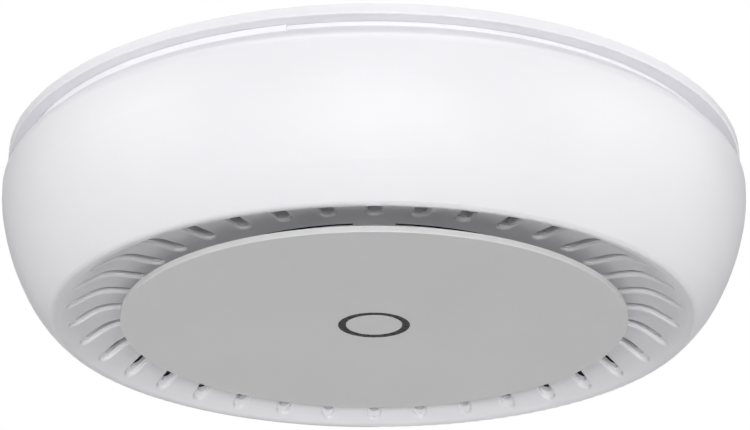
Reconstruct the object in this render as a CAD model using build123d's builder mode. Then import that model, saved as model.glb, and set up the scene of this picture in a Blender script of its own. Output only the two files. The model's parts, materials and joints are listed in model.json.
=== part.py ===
"""Round ceiling access point: a bayonet ceiling plate and a bowl-shaped housing that hangs from it.

Frame: millimetres, +Z up into the ceiling. The origin is the centre of the face that rests on the
ceiling, so the object hangs down along -Z. Angles are counted from +X towards +Y.
"""

import os
from math import cos, radians, sin, tan

from build123d import *

os.makedirs("parts", exist_ok=True)

# ---------------------------------------------------------------- driving dimensions
plate_radius = 94.55
plate_thickness = 2.4

rim_top = -3.7  # where the shell's shoulder starts
rim_opening_radius = 89.6
rim_radius = 91.2
bevel_angle = 46.0  # slope of the shell's shoulder, from level
bevel_width = 3.4
shoulder_radius = 3.2
straight_wall = 0.45
bowl_arcs = ((36.0, 12.5), (57.0, 18.5), (30.0, 18.0), (2.0, 41.0))  # radius, turn in degrees
lip_inner_radius = 3.3
lip_inner_turn = 34.6
cove_radius = 11.5
cove_slope_length = 7.4
wall = 1.6
vent_wall = 3.0

gap_outer_radius = 54.3
deck_radius = 49.8
bridge_count = 6
bridge_width = 9.8

vent_count = 36
vent_width = 3.0
vent_inner_radius = 59.6
vent_outer_radius = 76.2
groove_width = 3.6  # each slot lies in a wider, longer groove that follows the ring's surface
groove_inner_radius = 59.0
groove_outer_radius = 77.6
groove_depth = 1.0
groove_edge_round = 0.6

collar_top = -2.5
collar_radius = 90.9
wide_collar_radius = 91.5
wide_collar_start = 77.7  # the collar is wider from here through 180 degrees

disc_radius = 64.2
disc_thickness = 1.5
disc_face = -41.9  # at the disc's edge
disc_dish = 1.2
light_ring_radius = 9.1
button_radius = 7.2
running_gap = 0.15
guide_gap = 0.08

cover_radius = 89.3
cover_top = -3.5
cover_thickness = 1.5

board_radius = 60.0
board_top = -19.6
board_thickness = 1.6
spreader_radius = 58.0
spreader_gap = 1.8
spreader_thickness = 1.5
light_board_top = -29.5
light_board_thickness = 1.2

lug_count = 3
lug_radius = 70.0
lug_first_angle = 30.0
lug_length = 8.0
lug_post_width = 3.0
lug_foot_width = 8.0
lug_foot_thickness = 1.5
lug_clearance = 0.25
release_twist = 15.0

button_travel = 0.35
contact_gap = 0.05

jack_width = 16.1
jack_depth = 21.0
jack_height = 13.2
jack_spacing = 17.6
jack_mouth_y = 14.0

# ---------------------------------------------------------------- levels worked out from them
plate_underside = -plate_thickness
cover_bottom = cover_top - cover_thickness
board_bottom = board_top - board_thickness
spreader_top = board_bottom - spreader_gap
spreader_bottom = spreader_top - spreader_thickness
light_board_bottom = light_board_top - light_board_thickness
disc_back = disc_face + disc_thickness
ring_face = disc_face + disc_dish

UP = (Align.CENTER, Align.CENTER, Align.MIN)
DOWN = (Align.CENTER, Align.CENTER, Align.MAX)


def write(piece, name):
    """Label a finished piece and write it to its own file."""
    piece.part.label = name
    export_step(piece.part, f"parts/{name}.step")


def polar(radius, angle, height=0.0):
    """The point at a radius and an angle about the vertical axis."""
    return (radius * cos(radians(angle)), radius * sin(radians(angle)), height)


def heading(angle):
    """A unit direction in a profile's own plane."""
    return (cos(radians(angle)), sin(radians(angle)))


def shell_skin(inset, vent_inset, collar=False):
    """Draw one skin of the shell from the rim round the lip to the vent ring, inset from the outside.

    The vent ring has an inset of its own. The outer skin also carries the collar. Returns the skin's first point, the point where the vent
    ring becomes flat, and the last point.
    """
    flat_end = rim_radius - inset * tan(radians(bevel_angle / 2))
    if collar:
        start = (rim_opening_radius, collar_top)
        Polyline(start, (collar_radius, collar_top), (collar_radius, rim_top), (rim_radius, rim_top))
    else:
        start = (rim_opening_radius, rim_top - inset)
        Line(start, (flat_end, rim_top - inset))
    direction = -bevel_angle
    bevel = PolarLine((flat_end, rim_top - inset), bevel_width / cos(radians(bevel_angle)), direction)
    shoulder = JernArc(bevel @ 1, heading(direction), shoulder_radius - inset, -(90 + direction))
    side = PolarLine(shoulder @ 1, straight_wall, -90)
    direction = -90
    end = side @ 1
    for radius, turn in bowl_arcs + ((lip_inner_radius, lip_inner_turn),):
        arc = JernArc(end, heading(direction), radius - inset, -turn)
        direction -= turn
        end = arc @ 1
    along = Vector(*heading(direction))
    across = Vector(*heading(direction - 90))
    slope = Line(end, end + along * cove_slope_length + across * (vent_inset - inset))
    cove = JernArc(slope @ 1, heading(direction), cove_radius + vent_inset, lip_inner_turn)
    floor = Line(cove @ 1, (gap_outer_radius, (cove @ 1).Y))
    return Vector(*start), cove @ 1, floor @ 1


def outer_skin_height(radius):
    """The height of the vent ring's underside at a radius."""
    past_flat = max(radius - flat_radius, 0.0)
    curved = min(past_flat, cove_radius * sin(radians(lip_inner_turn)))
    drop = cove_radius - (cove_radius**2 - curved**2) ** 0.5
    return floor_z - drop - (past_flat - curved) * tan(radians(lip_inner_turn))


def cross_recess(length, width, depth, align):
    """Cut a cross-shaped driver recess into a screw head."""
    Box(length, width, depth, align=align, mode=Mode.SUBTRACT)
    Box(width, length, depth, align=align, mode=Mode.SUBTRACT)


def polar_band(inner_radius, outer_radius, first_angle, last_angle):
    """Draw the closed outline of a band between two radii and two angles."""
    sweep_angle = last_angle - first_angle
    outside = CenterArc((0, 0), outer_radius, first_angle, sweep_angle)
    inside = CenterArc((0, 0), inner_radius, first_angle, sweep_angle)
    Line(outside @ 0, inside @ 0)
    Line(outside @ 1, inside @ 1)


# ---------------------------------------------------------------- ceiling plate
ceiling_holes = [polar(80.0, 45.0 + 90.0 * k) for k in range(4)]
wall_box_holes = [(-30.0, 0.0, 0.0), (30.0, 0.0, 0.0)]
gang_box_holes = [(-41.65, 0.0, 0.0), (41.65, 0.0, 0.0)]
screw_hole_radius = 2.25
countersink_radius = 3.5
cable_hole_width = 40.0
cable_hole_length = 48.0
cable_hole_y = 36.0
cable_hole_corner = 6.0
plate_edge_round = 0.35

with BuildPart() as ceiling_plate:
    with BuildSketch(Plane.XY.offset(plate_underside)):
        Circle(plate_radius)
        with Locations((0, cable_hole_y)):
            RectangleRounded(cable_hole_width, cable_hole_length, cable_hole_corner, mode=Mode.SUBTRACT)
    extrude(amount=plate_thickness)
    lower_edge = ceiling_plate.edges().filter_by(GeomType.CIRCLE).filter_by(
        lambda edge: edge.radius > plate_radius - 1 and edge.center().Z < -1
    )
    fillet(lower_edge, radius=plate_edge_round)
    for spot in ceiling_holes + wall_box_holes + gang_box_holes:
        with Locations(spot):
            Cylinder(screw_hole_radius, plate_thickness, align=DOWN, mode=Mode.SUBTRACT)
        with Locations((spot[0], spot[1], plate_underside)):
            Cone(
                countersink_radius,
                screw_hole_radius,
                countersink_radius - screw_hole_radius,
                align=UP,
                mode=Mode.SUBTRACT,
            )
    foot_top = cover_bottom - lug_clearance
    with BuildSketch(Plane.XY.offset(plate_underside)):
        with PolarLocations(lug_radius, lug_count, lug_first_angle):
            Rectangle(lug_post_width, lug_length)
    extrude(amount=-(plate_underside - foot_top))
    with BuildSketch(Plane.XY.offset(foot_top)):
        with PolarLocations(lug_radius, lug_count, lug_first_angle):
            Rectangle(lug_foot_width, lug_length)
    extrude(amount=-lug_foot_thickness)
write(ceiling_plate, "ceiling_plate")

# ---------------------------------------------------------------- outer shell
def on_groove_mouth(edge):
    """True for an edge where a vent groove meets the shell's outer skin."""
    middle = edge @ 0.5
    ends = (edge @ 0, edge @ 1)
    radius = (middle.X**2 + middle.Y**2) ** 0.5
    if not groove_inner_radius - 0.1 < radius < groove_outer_radius + 0.1:
        return False
    if all(abs((end.X**2 + end.Y**2) ** 0.5 - radius) < 0.001 for end in ends):
        return False  # the ring's own seams run round the axis
    if abs(ends[0].X - ends[1].X) < 0.001 and abs(ends[0].Y - ends[1].Y) < 0.001:
        return False  # the groove's upright corners
    return middle.Z < outer_skin_height(radius) + groove_depth / 2


cover_screw_radius = 84.0
cover_screw_count = 6
cover_boss_radius = 3.4
cover_boss_height = 13.0
cover_rib_outer_radius = 93.8
board_screw_radius = 42.0
board_screw_count = 4
board_post_radius = 3.2
thread_hole_radius = 1.25
thread_hole_depth = 8.0
cover_rib_thickness = 2.4
disc_screw_clearance_radius = 1.4
vent_cut_drop = 8.0  # how far below the flat floor a slot's cut starts, to pass the whole cove
vent_cut_margin = 0.5
wide_collar_inner_radius = 90.2
wide_collar_sink = 0.4  # how far the wide half reaches down into the shoulder
cover_rib_drop = 3.0  # the ribs start this far below the back cover, where the shoulder is wide enough
light_post_circle = 13.2
light_post_count = 3
light_post_radius = 1.8
light_screw_radius = 0.8
disc_screw_circle = 40.0
disc_screw_count = 4
light_tube_clearance = 0.3

_, flat_start, _ = shell_skin(0.0, 0.0)
floor_z = flat_start.Y
flat_radius = flat_start.X
deck_top = floor_z + wall

# the grooves' own shape, open below and ending at one depth under the ring's surface
with BuildPart() as vent_grooves:
    with BuildSketch(Plane.XY.offset(floor_z - vent_cut_drop)):
        with PolarLocations((groove_outer_radius + groove_inner_radius) / 2, vent_count):
            SlotOverall(groove_outer_radius - groove_inner_radius, groove_width)
    extrude(amount=vent_cut_drop + groove_depth + vent_cut_margin)
    with BuildSketch(Plane.XZ):
        with BuildLine():
            groove_skin_start, _, groove_skin_end = shell_skin(groove_depth, groove_depth)
            Line(groove_skin_end, groove_skin_start)
        make_face()
    revolve(axis=Axis.Z, mode=Mode.SUBTRACT)

with BuildPart() as outer_shell:
    with BuildSketch(Plane.XZ):
        with BuildLine():
            outer_start, _, outer_end = shell_skin(0.0, 0.0, collar=True)
            inner_start, _, inner_end = shell_skin(wall, vent_wall)
            Line(outer_start, inner_start)
            Line(outer_end, inner_end)
        make_face()
    revolve(axis=Axis.Z)
    # radial vent grooves in the recessed ring, each with a slot cut straight through it
    add(vent_grooves.part, mode=Mode.SUBTRACT)
    fillet(outer_shell.edges().filter_by(on_groove_mouth), radius=groove_edge_round)
    slot_length = vent_outer_radius - vent_inner_radius
    with BuildSketch(Plane.XY.offset(floor_z - vent_cut_drop)):
        with PolarLocations((vent_outer_radius + vent_inner_radius) / 2, vent_count):
            SlotOverall(slot_length, vent_width)
    extrude(amount=vent_cut_drop + 2 * vent_wall, mode=Mode.SUBTRACT)
    # centre deck, joined to the vent ring by bridges across the annular gap
    with BuildSketch(Plane.XY.offset(floor_z)):
        Circle(deck_radius)
        with PolarLocations((deck_radius + gap_outer_radius) / 2, bridge_count, 30.0):
            Rectangle(gap_outer_radius - deck_radius + 1.0, bridge_width)
        Circle(light_ring_radius + light_tube_clearance, mode=Mode.SUBTRACT)
    extrude(amount=wall)
    # posts that carry the heat spreader and the main board
    with BuildSketch(Plane.XY.offset(deck_top)):
        with PolarLocations(board_screw_radius, board_screw_count, 45.0):
            Circle(board_post_radius)
    extrude(amount=spreader_bottom - deck_top)
    with BuildSketch(Plane.XY.offset(spreader_bottom)):
        with PolarLocations(board_screw_radius, board_screw_count, 45.0):
            Circle(thread_hole_radius)
    extrude(amount=-thread_hole_depth, mode=Mode.SUBTRACT)
    # posts that carry the light board
    with BuildSketch(Plane.XY.offset(deck_top)):
        with PolarLocations(light_post_circle, light_post_count, 90.0):
            Circle(light_post_radius)
            Circle(light_screw_radius, mode=Mode.SUBTRACT)
    extrude(amount=light_board_bottom - deck_top)
    # clearance holes for the centre cover's screws
    with PolarLocations(disc_screw_circle, disc_screw_count):
        with Locations((0, 0, floor_z)):
            Cylinder(disc_screw_clearance_radius, wall, align=UP, mode=Mode.SUBTRACT)
    # bosses and ribs for the back cover's screws
    with BuildSketch(Plane.XY.offset(cover_bottom)):
        with PolarLocations(cover_screw_radius, cover_screw_count):
            Circle(cover_boss_radius)
    extrude(amount=-cover_boss_height)
    rib_length = cover_rib_outer_radius - cover_screw_radius
    with BuildSketch(Plane.XY.offset(cover_bottom - cover_rib_drop)):
        with PolarLocations(cover_screw_radius + rib_length / 2, cover_screw_count):
            Rectangle(rib_length, cover_rib_thickness)
    extrude(amount=cover_rib_drop - cover_boss_height)
    with BuildSketch(Plane.XY.offset(cover_bottom)):
        with PolarLocations(cover_screw_radius, cover_screw_count):
            Circle(thread_hole_radius)
    extrude(amount=-thread_hole_depth, mode=Mode.SUBTRACT)
    # the wider half of the collar under the ceiling plate
    with BuildSketch(Plane.XY.offset(collar_top)):
        with BuildLine():
            polar_band(
                wide_collar_inner_radius,
                wide_collar_radius,
                wide_collar_start,
                wide_collar_start + 180,
            )
        make_face()
    extrude(amount=rim_top - wide_collar_sink - collar_top)
write(outer_shell, "outer_shell")

# ---------------------------------------------------------------- back cover with bayonet slots and port well
well_half_width = 22.5
well_start_y = jack_mouth_y + 0.3
well_end_y = 62.5
well_wall = 1.5
well_floor_top = -17.9
well_floor_thickness = 1.4
jack_window_width = 13.4
jack_window_top = -8.5
reset_spot = (36.0, 18.0)
reset_cap_radius = 2.4
reset_guide_end = -9.0
reset_guide_wall = 1.4
half_lug_angle = 3.6  # half the angle a lug takes up at its own radius
slot_side_gap = 0.5
pocket_side_gap = 0.7
pocket_end_angle = 0.6
cover_screw_clearance_radius = 1.35
cover_countersink_radius = 2.6
cover_countersink_depth = 1.25

with BuildPart() as back_cover:
    with BuildSketch(Plane.XY.offset(cover_bottom)):
        Circle(cover_radius)
    extrude(amount=cover_thickness)
    # the well that the network cables come into
    well_length = well_end_y - well_start_y
    with Locations((0, well_start_y + well_length / 2, cover_top)):
        Box(2 * well_half_width, well_length, cover_top - well_floor_top + well_floor_thickness, align=DOWN)
        Box(
            2 * (well_half_width - well_wall),
            well_length - 2 * well_wall,
            cover_top - well_floor_top,
            align=DOWN,
            mode=Mode.SUBTRACT,
        )
    for side in (-1, 1):
        with Locations((side * jack_spacing / 2, well_start_y + well_wall / 2, well_floor_top)):
            Box(
                jack_window_width,
                well_wall,
                jack_window_top - well_floor_top,
                align=UP,
                mode=Mode.SUBTRACT,
            )
    # the guide of the reset button
    with Locations((*reset_spot, cover_bottom)):
        Cylinder(reset_cap_radius + reset_guide_wall, cover_bottom - reset_guide_end, align=DOWN)
    with Locations((*reset_spot, cover_top)):
        Cylinder(reset_cap_radius + guide_gap, cover_top - reset_guide_end, align=DOWN, mode=Mode.SUBTRACT)
    # bayonet slots: a narrow arc that holds each lug and a pocket that lets its foot out
    for k in range(lug_count):
        lug_angle = lug_first_angle + 360.0 / lug_count * k
        with BuildSketch(Plane.XY.offset(cover_bottom)):
            with BuildLine():
                polar_band(
                    lug_radius - lug_post_width / 2 - slot_side_gap,
                    lug_radius + lug_post_width / 2 + slot_side_gap,
                    lug_angle - release_twist,
                    lug_angle + half_lug_angle,
                )
            make_face()
            with BuildLine():
                polar_band(
                    lug_radius - lug_foot_width / 2 - pocket_side_gap,
                    lug_radius + lug_foot_width / 2 + pocket_side_gap,
                    lug_angle - release_twist - half_lug_angle - pocket_end_angle,
                    lug_angle - release_twist + half_lug_angle + pocket_end_angle,
                )
            make_face()
        extrude(amount=cover_thickness, mode=Mode.SUBTRACT)
    # countersunk holes for the cover's own screws
    with PolarLocations(cover_screw_radius, cover_screw_count):
        with Locations((0, 0, cover_bottom)):
            Cylinder(cover_screw_clearance_radius, cover_thickness, align=UP, mode=Mode.SUBTRACT)
        with Locations((0, 0, cover_top)):
            Cone(
                cover_screw_clearance_radius,
                cover_countersink_radius,
                cover_countersink_depth,
                align=DOWN,
                mode=Mode.SUBTRACT,
            )
write(back_cover, "back_cover")

cover_screw_head_radius = 2.5
cover_screw_head_height = 1.2
cover_screw_shank_radius = 1.2
cover_screw_shank_length = 7.0

with BuildPart() as back_cover_screws:
    with PolarLocations(cover_screw_radius, cover_screw_count):
        with Locations((0, 0, cover_top)):
            Cone(cover_screw_shank_radius, cover_screw_head_radius, cover_screw_head_height, align=DOWN)
        with Locations((0, 0, cover_top - cover_screw_head_height)):
            Cylinder(cover_screw_shank_radius, cover_screw_shank_length, align=DOWN)
        with Locations((0, 0, cover_top)):
            cross_recess(2.4, 0.5, 0.6, DOWN)
write(back_cover_screws, "back_cover_screws")

# ---------------------------------------------------------------- centre cover (the flat disc)
pedestal_inner_radius = 46.0
pedestal_outer_radius = 49.0
disc_boss_radius = 3.0
disc_thread_radius = 1.0
disc_thread_depth = 4.2
disc_edge_round = 0.2
ring_gap = 0.1

with BuildPart() as center_cover:
    with BuildSketch(Plane.XZ):
        with BuildLine():
            face_line = TangentArc((0, ring_face), (disc_radius, disc_face), tangent=(1, 0))
            back_line = TangentArc((0, ring_face + disc_thickness), (disc_radius, disc_back), tangent=(1, 0))
            Line(face_line @ 0, back_line @ 0)
            Line(face_line @ 1, back_line @ 1)
        make_face()
    revolve(axis=Axis.Z)
    with BuildSketch(Plane.XY.offset(disc_face)):
        Circle(light_ring_radius + ring_gap)
    extrude(amount=floor_z - disc_face, mode=Mode.SUBTRACT)
    face_edge = center_cover.edges().filter_by(GeomType.CIRCLE).filter_by(
        lambda edge: abs(edge.radius - disc_radius) < 0.5 and edge.center().Z < disc_face + 0.5
    )
    fillet(face_edge, radius=disc_edge_round)
    with BuildSketch(Plane.XY.offset(disc_back)):
        Circle(pedestal_outer_radius)
        Circle(pedestal_inner_radius, mode=Mode.SUBTRACT)
        with PolarLocations(disc_screw_circle, disc_screw_count):
            Circle(disc_boss_radius)
    extrude(amount=floor_z - disc_back)
    with BuildSketch(Plane.XY.offset(floor_z)):
        with PolarLocations(disc_screw_circle, disc_screw_count):
            Circle(disc_thread_radius)
    extrude(amount=-disc_thread_depth, mode=Mode.SUBTRACT)
write(center_cover, "center_cover")

disc_screw_head_height = 1.2

with BuildPart() as center_cover_screws:
    with PolarLocations(disc_screw_circle, disc_screw_count):
        with Locations((0, 0, deck_top)):
            Cylinder(2.2, disc_screw_head_height, align=UP)
            Cylinder(disc_thread_radius - 0.03, 5.6, align=DOWN)
        with Locations((0, 0, deck_top + disc_screw_head_height)):
            cross_recess(2.2, 0.5, 0.6, DOWN)
write(center_cover_screws, "center_cover_screws")

# ---------------------------------------------------------------- light ring and mode button
tube_top = light_board_bottom - 1.1
tube_inner_radius = button_radius + running_gap
web_top = -36.2
web_thickness = 0.8
stem_radius = 2.0
flange_radius = 11.2
flange_thickness = 1.0
stem_gap = 0.08
retainer_gap = 0.1
button_edge_round = 0.15
switch_size = 6.0
switch_height = 3.5
plunger_radius = 1.75
plunger_height = 1.2
plunger_root = 0.5
plunger_well_depth = plunger_root + button_travel + running_gap
plunger_clearance = 0.05
button_cap_thickness = 1.8
button_head_radius = 3.0

with BuildPart() as light_ring:
    with BuildSketch(Plane.XY.offset(ring_face)):
        Circle(light_ring_radius)
        Circle(tube_inner_radius, mode=Mode.SUBTRACT)
    extrude(amount=tube_top - ring_face)
    with BuildSketch(Plane.XY.offset(web_top - web_thickness)):
        Circle(tube_inner_radius)
        Circle(stem_radius + stem_gap, mode=Mode.SUBTRACT)
    extrude(amount=web_thickness)
    with BuildSketch(Plane.XY.offset(deck_top)):
        Circle(flange_radius)
        Circle(light_ring_radius, mode=Mode.SUBTRACT)
    extrude(amount=flange_thickness)
write(light_ring, "light_ring")

mode_plunger_tip = light_board_bottom - switch_height - plunger_height

with BuildPart() as mode_button:
    with BuildSketch(Plane.XY.offset(ring_face)):
        Circle(button_radius)
    extrude(amount=button_cap_thickness)
    fillet(mode_button.edges().group_by(Axis.Z)[0], radius=button_edge_round)
    with BuildSketch(Plane.XY.offset(ring_face + button_cap_thickness)):
        Circle(stem_radius)
    extrude(amount=web_top + retainer_gap - ring_face - button_cap_thickness)
    with BuildSketch(Plane.XY.offset(web_top + retainer_gap)):
        Circle(button_head_radius)
    extrude(amount=mode_plunger_tip - contact_gap - web_top - retainer_gap)
write(mode_button, "mode_button")

with BuildPart() as mode_switch:
    with Locations((0, 0, light_board_bottom)):
        Box(switch_size, switch_size, switch_height, align=DOWN)
    with Locations((0, 0, light_board_bottom - switch_height)):
        Cylinder(plunger_radius + plunger_clearance, plunger_well_depth, align=UP, mode=Mode.SUBTRACT)
write(mode_switch, "mode_switch")

with BuildPart() as mode_switch_plunger:
    with Locations((0, 0, mode_plunger_tip)):
        Cylinder(plunger_radius, plunger_height + plunger_root, align=UP)
write(mode_switch_plunger, "mode_switch_plunger")

# ---------------------------------------------------------------- light board
light_board_radius = 16.0
led_count = 6
led_circle = 8.2
ribbon_y = -12.0
ribbon_width = 6.0
socket_width = 8.0
socket_depth = 3.0
socket_height = 1.5
light_screw_head_height = 1.1

with BuildPart() as light_board:
    with BuildSketch(Plane.XY.offset(light_board_bottom)):
        Circle(light_board_radius)
        with PolarLocations(light_post_circle, light_post_count, 90.0):
            Circle(light_screw_radius + 0.1, mode=Mode.SUBTRACT)
    extrude(amount=light_board_thickness)
write(light_board, "light_board")

with BuildPart() as light_board_leds:
    with PolarLocations(led_circle, led_count):
        with Locations((0, 0, light_board_bottom)):
            Box(1.6, 2.8, 0.8, align=DOWN)
write(light_board_leds, "light_board_leds")

with BuildPart() as light_board_screws:
    with PolarLocations(light_post_circle, light_post_count, 90.0):
        with Locations((0, 0, light_board_top)):
            Cylinder(1.6, light_screw_head_height, align=UP)
            Cylinder(light_screw_radius - 0.03, 4.0, align=DOWN)
        with Locations((0, 0, light_board_top + light_screw_head_height)):
            cross_recess(1.8, 0.4, 0.5, DOWN)
write(light_board_screws, "light_board_screws")

with BuildPart() as light_board_socket:
    with Locations((0, ribbon_y, light_board_top)):
        Box(socket_width, socket_depth, socket_height, align=UP)
write(light_board_socket, "light_board_socket")

with BuildPart() as main_board_socket:
    with Locations((0, ribbon_y, board_bottom)):
        Box(socket_width, socket_depth, socket_height, align=DOWN)
write(main_board_socket, "main_board_socket")

with BuildPart() as ribbon_lead:
    ribbon_low = light_board_top + socket_height
    ribbon_high = board_bottom - socket_height
    ribbon_middle = (ribbon_low + ribbon_high) / 2
    ribbon_bulge = 2.2
    ribbon_thickness = 0.3
    with BuildSketch(Plane.YZ.offset(-ribbon_width / 2)):
        with BuildLine():
            near = ThreePointArc(
                (ribbon_y, ribbon_low), (ribbon_y - ribbon_bulge, ribbon_middle), (ribbon_y, ribbon_high)
            )
            far = ThreePointArc(
                (ribbon_y + ribbon_thickness, ribbon_low),
                (ribbon_y - ribbon_bulge + ribbon_thickness, ribbon_middle),
                (ribbon_y + ribbon_thickness, ribbon_high),
            )
            Line(near @ 0, far @ 0)
            Line(near @ 1, far @ 1)
        make_face()
    extrude(amount=ribbon_width)
write(ribbon_lead, "ribbon_lead")

# ---------------------------------------------------------------- main board and heat spreader
spreader_window_radius = 17.0
antenna_screw_circle = 35.0
antenna_screw_radius = 1.0
antenna_screw_gap = 0.05
antenna_count = 4
spreader_skirt = 4.0
board_screw_clearance_radius = 1.4
board_screw_head_height = 1.7

with BuildPart() as main_board:
    with BuildSketch(Plane.XY.offset(board_bottom)):
        Circle(board_radius)
        with PolarLocations(board_screw_radius, board_screw_count, 45.0):
            Circle(board_screw_clearance_radius, mode=Mode.SUBTRACT)
    extrude(amount=board_thickness)
write(main_board, "main_board")

with BuildPart() as heat_spreader:
    with BuildSketch(Plane.XY.offset(spreader_bottom)):
        Circle(spreader_radius)
        Circle(spreader_window_radius, mode=Mode.SUBTRACT)
    extrude(amount=spreader_thickness)
    with BuildSketch(Plane.XY.offset(spreader_bottom)):
        Circle(spreader_radius)
        Circle(spreader_radius - spreader_thickness, mode=Mode.SUBTRACT)
    extrude(amount=-spreader_skirt)
    with BuildSketch(Plane.XY.offset(spreader_top)):
        with PolarLocations(board_screw_radius, board_screw_count, 45.0):
            Circle(board_post_radius)
    extrude(amount=spreader_gap)
    with BuildSketch(Plane.XY.offset(spreader_bottom)):
        with PolarLocations(board_screw_radius, board_screw_count, 45.0):
            Circle(board_screw_clearance_radius)
        with PolarLocations(antenna_screw_circle, antenna_count):
            Circle(antenna_screw_radius + antenna_screw_gap)
    extrude(amount=spreader_thickness + spreader_gap, mode=Mode.SUBTRACT)
write(heat_spreader, "heat_spreader")

with BuildPart() as board_screws:
    with PolarLocations(board_screw_radius, board_screw_count, 45.0):
        with Locations((0, 0, board_top)):
            Cylinder(2.4, board_screw_head_height, align=UP)
            Cylinder(thread_hole_radius - 0.04, 11.0, align=DOWN)
        with Locations((0, 0, board_top + board_screw_head_height)):
            cross_recess(2.6, 0.6, 0.8, DOWN)
write(board_screws, "board_screws")

# ---------------------------------------------------------------- Ethernet jacks
shield_sheet = 0.25
cavity_width = 11.8
cavity_height = 8.0
cavity_depth = 13.0
cavity_floor = board_top + 2.2
latch_width = 6.2
latch_height = 1.8
contact_count = 8
contact_pitch = 1.02
contact_width = 0.4

for name, jack_x in (("left", -jack_spacing / 2), ("right", jack_spacing / 2)):
    with BuildPart() as ethernet_insert:
        with Locations((jack_x, jack_mouth_y - jack_depth / 2, board_top)):
            Box(jack_width, jack_depth, jack_height, align=UP)
        with Locations((jack_x, jack_mouth_y - cavity_depth / 2, cavity_floor)):
            Box(cavity_width, cavity_depth, cavity_height, align=UP, mode=Mode.SUBTRACT)
        with Locations((jack_x, jack_mouth_y - cavity_depth / 2, cavity_floor + cavity_height)):
            Box(latch_width, cavity_depth, latch_height, align=UP, mode=Mode.SUBTRACT)
    write(ethernet_insert, f"ethernet_insert_{name}")

    with BuildPart() as ethernet_shield:
        shield_depth = jack_depth + shield_sheet
        with Locations((jack_x, jack_mouth_y - shield_depth / 2, board_top)):
            Box(jack_width + 2 * shield_sheet, shield_depth, jack_height + shield_sheet, align=UP)
        with Locations((jack_x, jack_mouth_y - jack_depth / 2, board_top)):
            Box(jack_width, jack_depth, jack_height, align=UP, mode=Mode.SUBTRACT)
    write(ethernet_shield, f"ethernet_shield_{name}")

with BuildPart() as ethernet_contacts:
    contact_root_y = jack_mouth_y - cavity_depth + 1.0
    first_contact = -(contact_count - 1) / 2 * contact_pitch
    for jack_x in (-jack_spacing / 2, jack_spacing / 2):
        for k in range(contact_count):
            contact_x = jack_x + first_contact + k * contact_pitch - contact_width / 2
            with BuildSketch(Plane.YZ.offset(contact_x)):
                with BuildLine():
                    Polyline(
                        (contact_root_y, cavity_floor),
                        (contact_root_y + 1.0, cavity_floor),
                        (contact_root_y + 8.0, cavity_floor + 2.4),
                        (contact_root_y + 8.0, cavity_floor + 2.8),
                        (contact_root_y, cavity_floor + 0.5),
                        close=True,
                    )
                make_face()
            extrude(amount=contact_width)
write(ethernet_contacts, "ethernet_contacts")

# ---------------------------------------------------------------- parts on the board's upper side
with BuildPart() as network_transformers:
    with Locations((-9.5, -17.0, board_top), (9.5, -17.0, board_top)):
        Box(15.0, 9.0, 5.6, align=UP)
        Box(14.0, 11.6, 1.2, align=UP)
    fillet(network_transformers.edges().group_by(Axis.Z)[-1], radius=0.4)
write(network_transformers, "network_transformers")

with BuildPart() as power_transformer:
    with Locations((-36.0, -12.0, board_top)):
        Box(14.0, 13.0, 2.0, align=UP)
        Box(13.0, 8.0, 11.0, align=UP)
        Cylinder(5.6, 8.6, align=UP)
write(power_transformer, "power_transformer")

with BuildPart() as power_inductors:
    with Locations((36.0, -4.0, board_top), (36.0, -17.0, board_top)):
        Box(10.0, 10.0, 4.6, align=UP)
    chamfer(power_inductors.edges().filter_by(Axis.Z), length=1.2)
write(power_inductors, "power_inductors")

with BuildPart() as electrolytic_capacitors:
    with Locations((-34.0, 8.0, board_top), (-45.0, 4.0, board_top), (-22.0, -34.0, board_top)):
        Box(8.6, 8.6, 0.6, align=UP)
        Cylinder(4.0, 10.4, align=UP)
    fillet(electrolytic_capacitors.edges().group_by(Axis.Z)[-1], radius=0.5)
write(electrolytic_capacitors, "electrolytic_capacitors")

with BuildPart() as power_chips:
    with Locations((-22.0, -9.0, board_top), (24.0, -30.0, board_top)):
        Box(6.0, 5.0, 1.4, align=UP)
write(power_chips, "power_chips")

with BuildPart() as reset_switch:
    with Locations((*reset_spot, board_top)):
        Box(switch_size, switch_size, switch_height, align=UP)
    with Locations((*reset_spot, board_top + switch_height)):
        Cylinder(plunger_radius + plunger_clearance, plunger_well_depth, align=DOWN, mode=Mode.SUBTRACT)
write(reset_switch, "reset_switch")

reset_plunger_tip = board_top + switch_height + plunger_height

with BuildPart() as reset_switch_plunger:
    with Locations((*reset_spot, reset_plunger_tip)):
        Cylinder(plunger_radius, plunger_height + plunger_root, align=DOWN)
write(reset_switch_plunger, "reset_switch_plunger")

reset_cap_top = -4.0
reset_collar_radius = 3.2

with BuildPart() as reset_button:
    with Locations((*reset_spot, reset_plunger_tip + contact_gap)):
        Cylinder(reset_cap_radius - 0.6, reset_cap_top - reset_plunger_tip - contact_gap, align=UP)
    with Locations((*reset_spot, reset_cap_top)):
        Cylinder(reset_cap_radius, reset_cap_top - reset_guide_end - 1.0, align=DOWN)
    with Locations((*reset_spot, reset_guide_end - 0.1)):
        Cylinder(reset_collar_radius, 1.0, align=DOWN)
write(reset_button, "reset_button")

# ---------------------------------------------------------------- parts on the board's lower side
processor_spot = (-34.0, 0.0)
processor_height = 1.2
radio_spots = {"2g": (34.0, -12.0), "5g": (34.0, 12.0)}
can_length = 22.0
can_width = 16.0
can_height = 1.5
can_sheet = 0.2

with BuildPart() as processor_chip:
    with Locations((*processor_spot, board_bottom)):
        Box(17.0, 17.0, processor_height, align=DOWN)
write(processor_chip, "processor_chip")

with BuildPart() as memory_chips:
    with Locations((-47.0, -15.0, board_bottom), (-47.0, 15.0, board_bottom)):
        Box(8.0, 12.0, 1.1, align=DOWN)
write(memory_chips, "memory_chips")

with BuildPart() as flash_chip:
    with Locations((-24.0, -18.0, board_bottom)):
        Box(6.0, 8.0, 0.9, align=DOWN)
write(flash_chip, "flash_chip")

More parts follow.
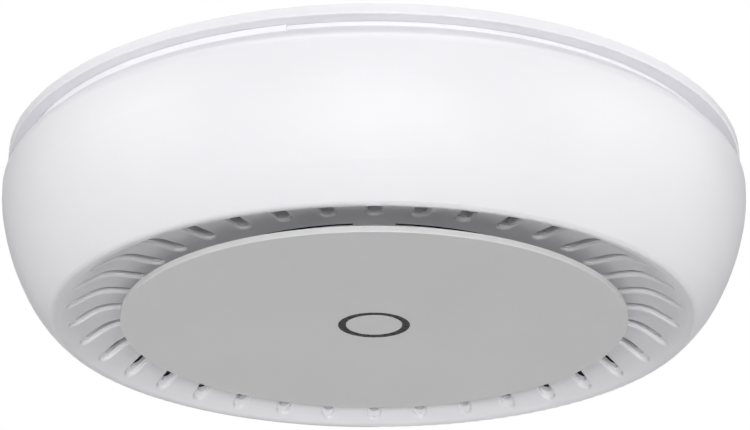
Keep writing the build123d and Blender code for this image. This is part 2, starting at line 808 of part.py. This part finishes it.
with BuildPart() as crystals:
    with Locations((-24.0, 15.0, board_bottom), (0.0, 26.0, board_bottom), (0.0, -26.0, board_bottom)):
        Box(3.2, 2.5, 0.8, align=DOWN)
write(crystals, "crystals")

for band, spot in radio_spots.items():
    with BuildPart() as radio_chip:
        with Locations((*spot, board_bottom)):
            Box(9.0, 9.0, 0.9, align=DOWN)
    write(radio_chip, f"radio_chip_{band}")

    with BuildPart() as shield_can:
        with Locations((*spot, board_bottom)):
            Box(can_length, can_width, can_height, align=DOWN)
            Box(
                can_length - 2 * can_sheet,
                can_width - 2 * can_sheet,
                can_height - can_sheet,
                align=DOWN,
                mode=Mode.SUBTRACT,
            )
    write(shield_can, f"shield_can_{band}")

with BuildPart() as thermal_pads:
    with Locations((*processor_spot, spreader_top)):
        Box(15.0, 15.0, spreader_gap - processor_height, align=UP)
    for spot in radio_spots.values():
        with Locations((*spot, spreader_top)):
            Box(14.0, 12.0, spreader_gap - can_height, align=UP)
write(thermal_pads, "thermal_pads")

# ---------------------------------------------------------------- antennas and their coaxial leads
antenna_sheet = 0.5
antenna_drop = 6.5
antenna_foot_end = 40.0
antenna_feed_radius = 28.0
antenna_foot_width = 8.0
feed_width = 2.0
feed_gap = 0.4
antenna_screw_head_height = 1.2


def outward_plane(angle):
    """The plane whose X points outward at an angle and whose origin is on the vertical axis."""
    return Plane(origin=(0, 0, 0), x_dir=polar(1.0, angle), z_dir=(0, 0, 1))


antennas = (
    ("antenna_2g_right", 0.0, 11.0, 26.0),
    ("antenna_5g_rear", 90.0, 8.0, 14.0),
    ("antenna_2g_left", 180.0, 11.0, 26.0),
    ("antenna_5g_front", 270.0, 8.0, 14.0),
)
for name, angle, radiator_depth, radiator_length in antennas:
    with BuildPart(outward_plane(angle)) as antenna:
        # foot on the heat spreader, wall down from it, radiator parallel to the spreader, feed leg
        with Locations((antenna_screw_circle, 0, spreader_bottom)):
            Box(2 * (antenna_foot_end - antenna_screw_circle), antenna_foot_width, antenna_sheet, align=DOWN)
        with Locations((antenna_foot_end - antenna_sheet / 2, 0, spreader_bottom)):
            Box(antenna_sheet, antenna_foot_width, antenna_drop, align=DOWN)
        radiator_center = antenna_foot_end - radiator_depth / 2
        with Locations((radiator_center, 0, spreader_bottom - antenna_drop)):
            Box(radiator_depth, radiator_length, antenna_sheet, align=DOWN)
        feed_length = antenna_foot_end - radiator_depth - antenna_feed_radius
        with Locations((antenna_feed_radius, 0, spreader_bottom - antenna_drop)):
            Box(feed_length, feed_width, antenna_sheet, align=(Align.MIN, Align.CENTER, Align.MAX))
        with Locations((antenna_feed_radius, 0, spreader_bottom - antenna_drop)):
            Box(
                antenna_sheet,
                feed_width,
                antenna_drop - feed_gap,
                align=(Align.MIN, Align.CENTER, Align.MIN),
            )
        with Locations((antenna_screw_circle, 0, spreader_bottom)):
            Cylinder(antenna_screw_radius + antenna_screw_gap, antenna_sheet, align=DOWN, mode=Mode.SUBTRACT)
    write(antenna, name)

with BuildPart() as antenna_screws:
    with PolarLocations(antenna_screw_circle, antenna_count):
        with Locations((0, 0, spreader_bottom - antenna_sheet)):
            Cylinder(2.0, antenna_screw_head_height, align=DOWN)
            Cylinder(antenna_screw_radius, antenna_sheet + spreader_thickness, align=UP)
        with Locations((0, 0, spreader_bottom - antenna_sheet - antenna_screw_head_height)):
            cross_recess(2.2, 0.5, 0.6, UP)
write(antenna_screws, "antenna_screws")

lead_starts = {0.0: (12.0, 0.0), 90.0: (5.0, 12.0), 180.0: (-12.0, 0.0), 270.0: (7.5, -10.5)}
coax_socket_height = 1.25
coax_radius = 0.57
coax_bend = 2.0
coax_end_gap = 0.3

with BuildPart() as coax_sockets:
    for spot in lead_starts.values():
        with Locations((*spot, board_bottom)):
            Box(3.0, 3.0, coax_socket_height, align=DOWN)
write(coax_sockets, "coax_sockets")

for name, angle, _, _ in antennas:
    start_x, start_y = lead_starts[angle]
    lead_top = board_bottom - coax_socket_height
    lead_level = spreader_bottom - coax_radius - coax_end_gap
    with BuildPart() as coax_lead:
        with BuildLine():
            FilletPolyline(
                (start_x, start_y, lead_top),
                (start_x, start_y, lead_level),
                polar(antenna_feed_radius - coax_end_gap, angle, lead_level),
                radius=coax_bend,
            )
        with BuildSketch(Plane(origin=(start_x, start_y, lead_top), z_dir=(0, 0, -1))):
            Circle(coax_radius)
        sweep()
    write(coax_lead, name.replace("antenna", "coax_lead"))
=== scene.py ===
"""Looks of the ceiling access point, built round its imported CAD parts. Metres, in the CAD frame."""

import json
from math import pi

import bpy
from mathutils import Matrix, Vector

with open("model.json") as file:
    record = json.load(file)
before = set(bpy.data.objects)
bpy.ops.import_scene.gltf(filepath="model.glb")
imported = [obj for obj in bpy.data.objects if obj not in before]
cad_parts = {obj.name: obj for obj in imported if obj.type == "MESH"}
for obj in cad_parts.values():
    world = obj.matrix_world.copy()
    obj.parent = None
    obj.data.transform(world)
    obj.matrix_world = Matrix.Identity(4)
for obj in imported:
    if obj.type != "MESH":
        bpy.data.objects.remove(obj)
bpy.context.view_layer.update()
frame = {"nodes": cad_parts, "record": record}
nodes = frame["nodes"]

# ---------------------------------------------------------------- materials


class Paint:
    """One procedural material: a principled shader and the nodes that feed it."""

    def __init__(self, name, roughness=0.5, metallic=0.0):
        self.material = bpy.data.materials.new(name)
        self.material.use_nodes = True
        self.tree = self.material.node_tree
        self.shader = self.tree.nodes["Principled BSDF"]
        self.shader.inputs["Roughness"].default_value = roughness
        self.shader.inputs["Metallic"].default_value = metallic
        self.place = self.node("ShaderNodeTexCoord").outputs["Object"]
        self.normal = None

    def node(self, kind, **values):
        made = self.tree.nodes.new(kind)
        for key, value in values.items():
            made.inputs[key.replace("_", " ")].default_value = value
        return made

    def link(self, source, target):
        self.tree.links.new(source, target)

    def stretched(self, scale):
        """Object coordinates scaled by three numbers, for grain that runs one way."""
        mapping = self.node("ShaderNodeMapping", Scale=scale)
        self.link(self.place, mapping.inputs["Vector"])
        return mapping.outputs["Vector"]

    def noise(self, scale, detail=3.0, rough=0.5, place=None):
        made = self.node("ShaderNodeTexNoise", Scale=scale, Detail=detail, Roughness=rough)
        self.link(place or self.place, made.inputs["Vector"])
        return made.outputs["Fac"]

    def ramp(self, value, stops):
        """Turn a value into a colour through stops of (position, colour)."""
        made = self.node("ShaderNodeValToRGB")
        elements = made.color_ramp.elements
        while len(elements) < len(stops):
            elements.new(0.5)
        for element, (position, colour) in zip(elements, stops):
            element.position = position
            element.color = (*colour, 1.0)
        self.link(value, made.inputs["Fac"])
        return made.outputs["Color"]

    def colour(self, value, stops):
        self.link(self.ramp(value, stops), self.shader.inputs["Base Color"])

    def mixed(self, factor, first, second):
        """Base colour that turns from the first, a socket, to the second, a plain colour."""
        mix = self.node("ShaderNodeMix")
        mix.data_type = "RGBA"
        factor_socket, first_socket, second_socket = (mix.inputs[k] for k in ("Factor", 6, 7))
        self.link(factor, factor_socket)
        self.link(first, first_socket)
        second_socket.default_value = (*second, 1.0)
        self.link(mix.outputs[2], self.shader.inputs["Base Color"])

    def rough(self, value, low, high):
        made = self.node("ShaderNodeMapRange", From_Min=0.3, From_Max=0.7, To_Min=low, To_Max=high)
        self.link(value, made.inputs["Value"])
        self.link(made.outputs["Result"], self.shader.inputs["Roughness"])

    def bump(self, height, distance, strength=1.0):
        made = self.node("ShaderNodeBump", Distance=distance, Strength=strength)
        self.link(height, made.inputs["Height"])
        if self.normal:
            self.link(self.normal, made.inputs["Normal"])
        self.normal = made.outputs["Normal"]
        self.link(self.normal, self.shader.inputs["Normal"])

    def step(self, value, low, high, stops):
        """Follow a curve of (value, result) stops from low to high, with results between 0 and 1."""
        span = self.node("ShaderNodeMapRange", From_Min=low, From_Max=high)
        self.link(value, span.inputs["Value"])
        places = [((at - low) / (high - low), (level,) * 3) for at, level in stops]
        return self.ramp(span.outputs["Result"], places)

    def compute(self, operation, first, second):
        made = self.tree.nodes.new("ShaderNodeMath")
        made.operation = operation
        for socket, value in zip(made.inputs, (first, second)):
            if isinstance(value, float):
                socket.default_value = value
            else:
                self.link(value, socket)
        return made.outputs[0]

    def paint_slot_shade(self, skin_radius, floor_depth, shade_colour):
        """Paint shade over what lies within a turned shell, given its middle surface as two curves: the
        inner faces take a near-black colour that stands in for the shade behind the slots.

        skin_radius is radius by depth, floor_depth is depth by radius, and both are in tenths of a metre,
        so that they fit between 0 and 1.
        """
        split = self.node("ShaderNodeSeparateXYZ")
        self.link(self.place, split.inputs[0])
        squares = [self.compute("MULTIPLY", split.outputs[k], split.outputs[k]) for k in (0, 1)]
        root = self.compute("SQRT", self.compute("ADD", *squares), 0.0)
        radius = self.compute("MULTIPLY", root, tenths_per_metre)
        depth = self.compute("MULTIPLY", split.outputs[2], -tenths_per_metre)
        within = self.compute("LESS_THAN", radius, self.step(depth, *shell_depths, skin_radius))
        above = self.compute("LESS_THAN", depth, self.step(radius, *ring_radii, floor_depth))
        outside = self.shader.inputs["Base Color"].links[0].from_socket
        # painted shade: the base colour turns near-black within the shell's wall and above its ring
        self.mixed(self.compute("MULTIPLY", within, above), outside, shade_colour)

    def seen_as(self, colour):
        """Look evenly lit to the camera, without sending that light on to other things."""
        glow = self.node("ShaderNodeEmission", Color=(*colour, 1.0))
        choice = self.node("ShaderNodeMixShader")
        self.link(self.node("ShaderNodeLightPath").outputs["Is Camera Ray"], choice.inputs[0])
        self.link(self.shader.outputs[0], choice.inputs[1])
        self.link(glow.outputs[0], choice.inputs[2])
        self.link(choice.outputs[0], self.tree.nodes["Material Output"].inputs["Surface"])


def shade(colour, factor):
    return tuple(channel * factor for channel in colour)


def moulded(name, colour, roughness, grain=5200.0, depth=0.00002, cloud=0.02, painted_shade=None):
    """Moulded plastic: fine spark-eroded grain, faint flow clouding, uneven gloss."""
    paint = Paint(name, roughness)
    cloud_noise = paint.noise(22.0, 2.0)
    paint.colour(cloud_noise, [(0.35, shade(colour, 1 - cloud)), (0.65, colour)])
    grain_noise = paint.noise(grain, 2.0, 0.6)
    paint.rough(paint.noise(160.0, 3.0), roughness - 0.04, roughness + 0.05)
    paint.bump(grain_noise, depth)
    # painted shade on the shell's inner faces, when asked for
    if painted_shade:
        paint.paint_slot_shade(*painted_shade)
    return paint.material


def sheet_metal(name, colour, roughness, scale, depth=0.00001):
    """Rolled or drawn metal with grain along one direction."""
    paint = Paint(name, roughness, metallic=1.0)
    streaks = paint.noise(1.0, 4.0, 0.6, paint.stretched(scale))
    paint.colour(streaks, [(0.3, shade(colour, 0.86)), (0.7, colour)])
    paint.rough(streaks, roughness - 0.08, roughness + 0.1)
    paint.bump(streaks, depth)
    return paint.material


def epoxy(name):
    """Moulded chip package: charcoal with a sandy surface."""
    paint = Paint(name, 0.6)
    sand = paint.noise(9000.0, 2.0)
    dark, light = (0.018, 0.018, 0.020), (0.030, 0.030, 0.033)
    paint.colour(paint.noise(700.0, 2.0), [(0.35, dark), (0.65, light)])
    paint.rough(sand, 0.5, 0.68)
    paint.bump(sand, 0.00002)
    return paint.material


def board(name):
    """Solder-masked board: green mask over copper tracks and a scatter of vias."""
    paint = Paint(name, 0.32)
    tracks = paint.node("ShaderNodeTexBrick", Scale=260.0, Mortar_Size=0.035, Mortar_Smooth=0.1)
    paint.link(paint.place, tracks.inputs["Vector"])
    vias = paint.node("ShaderNodeTexVoronoi", Scale=420.0)
    paint.link(paint.place, vias.inputs["Vector"])
    bare_green, track_green = (0.006, 0.060, 0.026), (0.014, 0.120, 0.050)
    mask = paint.ramp(tracks.outputs["Fac"], [(0.0, bare_green), (1.0, track_green)])
    ring = paint.ramp(vias.outputs["Distance"], [(0.10, (1.0, 1.0, 1.0)), (0.13, (0.0, 0.0, 0.0))])
    paint.mixed(ring, mask, (0.55, 0.50, 0.36))
    paint.bump(tracks.outputs["Fac"], 0.00003)
    return paint.material


def milky(name, colour, roughness, weight):
    """Light-scattering plastic."""
    paint = Paint(name, roughness)
    paint.colour(paint.noise(90.0, 2.0), [(0.3, shade(colour, 0.94)), (0.7, colour)])
    paint.rough(paint.noise(900.0, 2.0), roughness - 0.05, roughness + 0.06)
    paint.bump(paint.noise(4200.0, 2.0), 0.00001)
    paint.shader.inputs["Subsurface Weight"].default_value = weight
    paint.shader.inputs["Subsurface Radius"].default_value = (0.001, 0.001, 0.001)
    return paint.material


white = (0.875, 0.872, 0.903)
# the shell's middle surface, in tenths of a metre: (depth, radius) for its wall, and
# (radius, depth) for its ring
tenths_per_metre = 10.0
shell_depths = (0.0, 0.42)
ring_radii = (0.5, 0.85)
shell_wall = [(0.05, 0.905), (0.10, 0.945), (0.16, 0.940), (0.22, 0.925), (0.26, 0.910), (0.30, 0.893),
              (0.34, 0.871), (0.37, 0.851), (0.39, 0.834), (0.41, 0.805)]
shell_ring = [(0.50, 0.331), (0.66, 0.331), (0.70, 0.337), (0.72, 0.346), (0.74, 0.360), (0.76, 0.374),
              (0.78, 0.388), (0.80, 0.400), (0.85, 0.402)]
# painted shade: near-black for the shell's inner faces, standing in for the shade seen through the slots
painted_slot_shade = (shell_wall, shell_ring, (0.016, 0.016, 0.018))
finishes = {
    "plate_plastic": moulded("plate_white", white, 0.46),
    # the shell's inner faces carry painted shade
    "shell_plastic": moulded("shell_white", white, 0.42, painted_shade=painted_slot_shade),
    "disc_plastic": moulded("disc_white", (0.80, 0.80, 0.80), 0.55, grain=6500.0),
    "light_guide": milky("smoked_light_guide", (0.040, 0.040, 0.042), 0.28, 0.0),
    "screw_steel": sheet_metal("zinc_plated_steel", (0.60, 0.60, 0.62), 0.34, (900, 900, 4000)),
    "switch_plastic": moulded("switch_black", (0.03, 0.03, 0.03), 0.5),
    "plunger_plastic": moulded("plunger_red", (0.50, 0.05, 0.03), 0.45),
    "reset_plastic": moulded("reset_grey", (0.06, 0.06, 0.065), 0.5),
    "circuit_board": board("green_board"),
    "led_lens": milky("frosted_lens", (0.85, 0.83, 0.66), 0.3, 0.2),
    "socket_plastic": moulded("natural_nylon", (0.70, 0.66, 0.54), 0.5),
    "ribbon_film": moulded("ribbon_film", (0.62, 0.62, 0.66), 0.35, grain=2500.0),
    "spreader_aluminium": sheet_metal("black_anodised", (0.045, 0.045, 0.050), 0.42, (90, 3600, 90)),
    "jack_plastic": moulded("jack_black", (0.022, 0.022, 0.022), 0.5),
    "tinned_steel": sheet_metal("tinned_steel", (0.66, 0.66, 0.65), 0.30, (120, 2600, 120)),
    "gold_contact": sheet_metal("gold_contact", (0.83, 0.60, 0.25), 0.24, (3000, 300, 3000)),
    "component_black": epoxy("epoxy_black"),
    "capacitor_can": sheet_metal("capacitor_can", (0.70, 0.70, 0.72), 0.30, (200, 200, 5200)),
    "crystal_can": sheet_metal("crystal_can", (0.74, 0.74, 0.73), 0.28, (400, 2600, 400)),
    "thermal_pad": moulded("thermal_pad", (0.30, 0.40, 0.50), 0.75, grain=2600.0, depth=0.00005),
    "antenna_sheet": sheet_metal("antenna_sheet", (0.70, 0.69, 0.66), 0.33, (2600, 140, 140)),
    "coax_jacket": moulded("coax_jacket", (0.035, 0.035, 0.038), 0.4),
}
slot_of = {part["node"]: part["material_slot"] for part in frame["record"]["subparts"]}
for name, node in nodes.items():
    for index in range(len(node.material_slots)):
        node.material_slots[index].link = "OBJECT"
        node.material_slots[index].material = finishes[slot_of[name]]

# ---------------------------------------------------------------- stage, light and camera


def area_light(name, place, target, size, power):
    light = bpy.data.lights.new(name, "AREA")
    light.shape = "RECTANGLE"
    light.size, light.size_y = size
    light.energy = power
    lamp = bpy.data.objects.new(name, light)
    bpy.context.scene.collection.objects.link(lamp)
    lamp.location = place
    lamp.rotation_euler = (Vector(target) - Vector(place)).to_track_quat("-Z", "Y").to_euler()


floor_mesh = bpy.data.meshes.new("floor")
floor_reach = 4.0
floor_level = -1.6
corners = [(-1, -1), (1, -1), (1, 1), (-1, 1)]
floor_points = [(x * floor_reach, y * floor_reach, floor_level) for x, y in corners]
floor_mesh.from_pydata(floor_points, [], [(0, 1, 2, 3)])
floor = bpy.data.objects.new("floor", floor_mesh)
bpy.context.scene.collection.objects.link(floor)
floor_paper = Paint("floor_paper", 0.9)
paper_tones = [(0.35, (0.64, 0.64, 0.64)), (0.65, (0.65, 0.65, 0.65))]
floor_paper.colour(floor_paper.noise(3.0, 2.0), paper_tones)
floor_paper.seen_as((0.80, 0.80, 0.80))
floor_mesh.materials.append(floor_paper.material)

# a white backdrop all round, which the camera sees, over a faint fill, which lights the object
world = bpy.data.worlds.new("studio")
world.use_nodes = True
bpy.context.scene.world = world
world_nodes = world.node_tree.nodes
world_links = world.node_tree.links
fill = world_nodes["Background"]
fill.inputs["Strength"].default_value = 0.10
fill.inputs["Color"].default_value = (1.0, 1.0, 1.0, 1.0)
backdrop = world_nodes.new("ShaderNodeBackground")
backdrop.label = "backdrop"
backdrop.inputs["Color"].default_value = (1.0, 1.0, 1.0, 1.0)
ray = world_nodes.new("ShaderNodeLightPath")
choice = world_nodes.new("ShaderNodeMixShader")
world_links.new(ray.outputs["Is Camera Ray"], choice.inputs[0])
world_links.new(fill.outputs[0], choice.inputs[1])
world_links.new(backdrop.outputs[0], choice.inputs[2])
world_links.new(choice.outputs[0], world_nodes["World Output"].inputs["Surface"])

middle = (0.0, 0.0, -0.03)
soft_boxes = {  # place, width and height, power
    "front": ((0.0, -2.4, -0.25), (1.6, 1.0), 8.0),
    "low_strip": ((0.0, -2.2, -0.7), (2.4, 0.3), 25.4),
    "left": ((-2.2, -1.0, 0.1), (1.2, 1.2), 18.2),
    "right": ((2.2, -1.0, 0.1), (1.2, 1.2), 18.8),
    "left_side": ((-2.4, 0.3, 0.5), (1.2, 1.2), 5.2),
    "right_side": ((2.4, 0.3, 0.5), (1.2, 1.2), 7.5),
    "back": ((0.0, 2.4, 0.3), (1.6, 1.2), 13.0),
    "back_high": ((0.0, 2.0, 1.3), (1.6, 0.8), 22.0),
    "top": ((0.0, -0.3, 2.2), (2.0, 2.0), 31.0),
}
for name, (place, size, power) in soft_boxes.items():
    area_light(name, place, middle, size, power)

bpy.context.scene.view_settings.view_transform = "Standard"

camera_tilt = 0.406  # how far above level it looks, in radians
camera_data = bpy.data.cameras.new("camera")
camera_data.sensor_width = 36.0
camera_data.lens = 99.86
camera_data.shift_x = 0.0013
camera_data.clip_start = 0.01
camera = bpy.data.objects.new("camera", camera_data)
bpy.context.scene.collection.objects.link(camera)
camera.location = (0.0, -0.4974, -0.2240)
camera.rotation_euler = (pi / 2 + camera_tilt, 0.0, 0.0)
bpy.context.scene.camera = camera
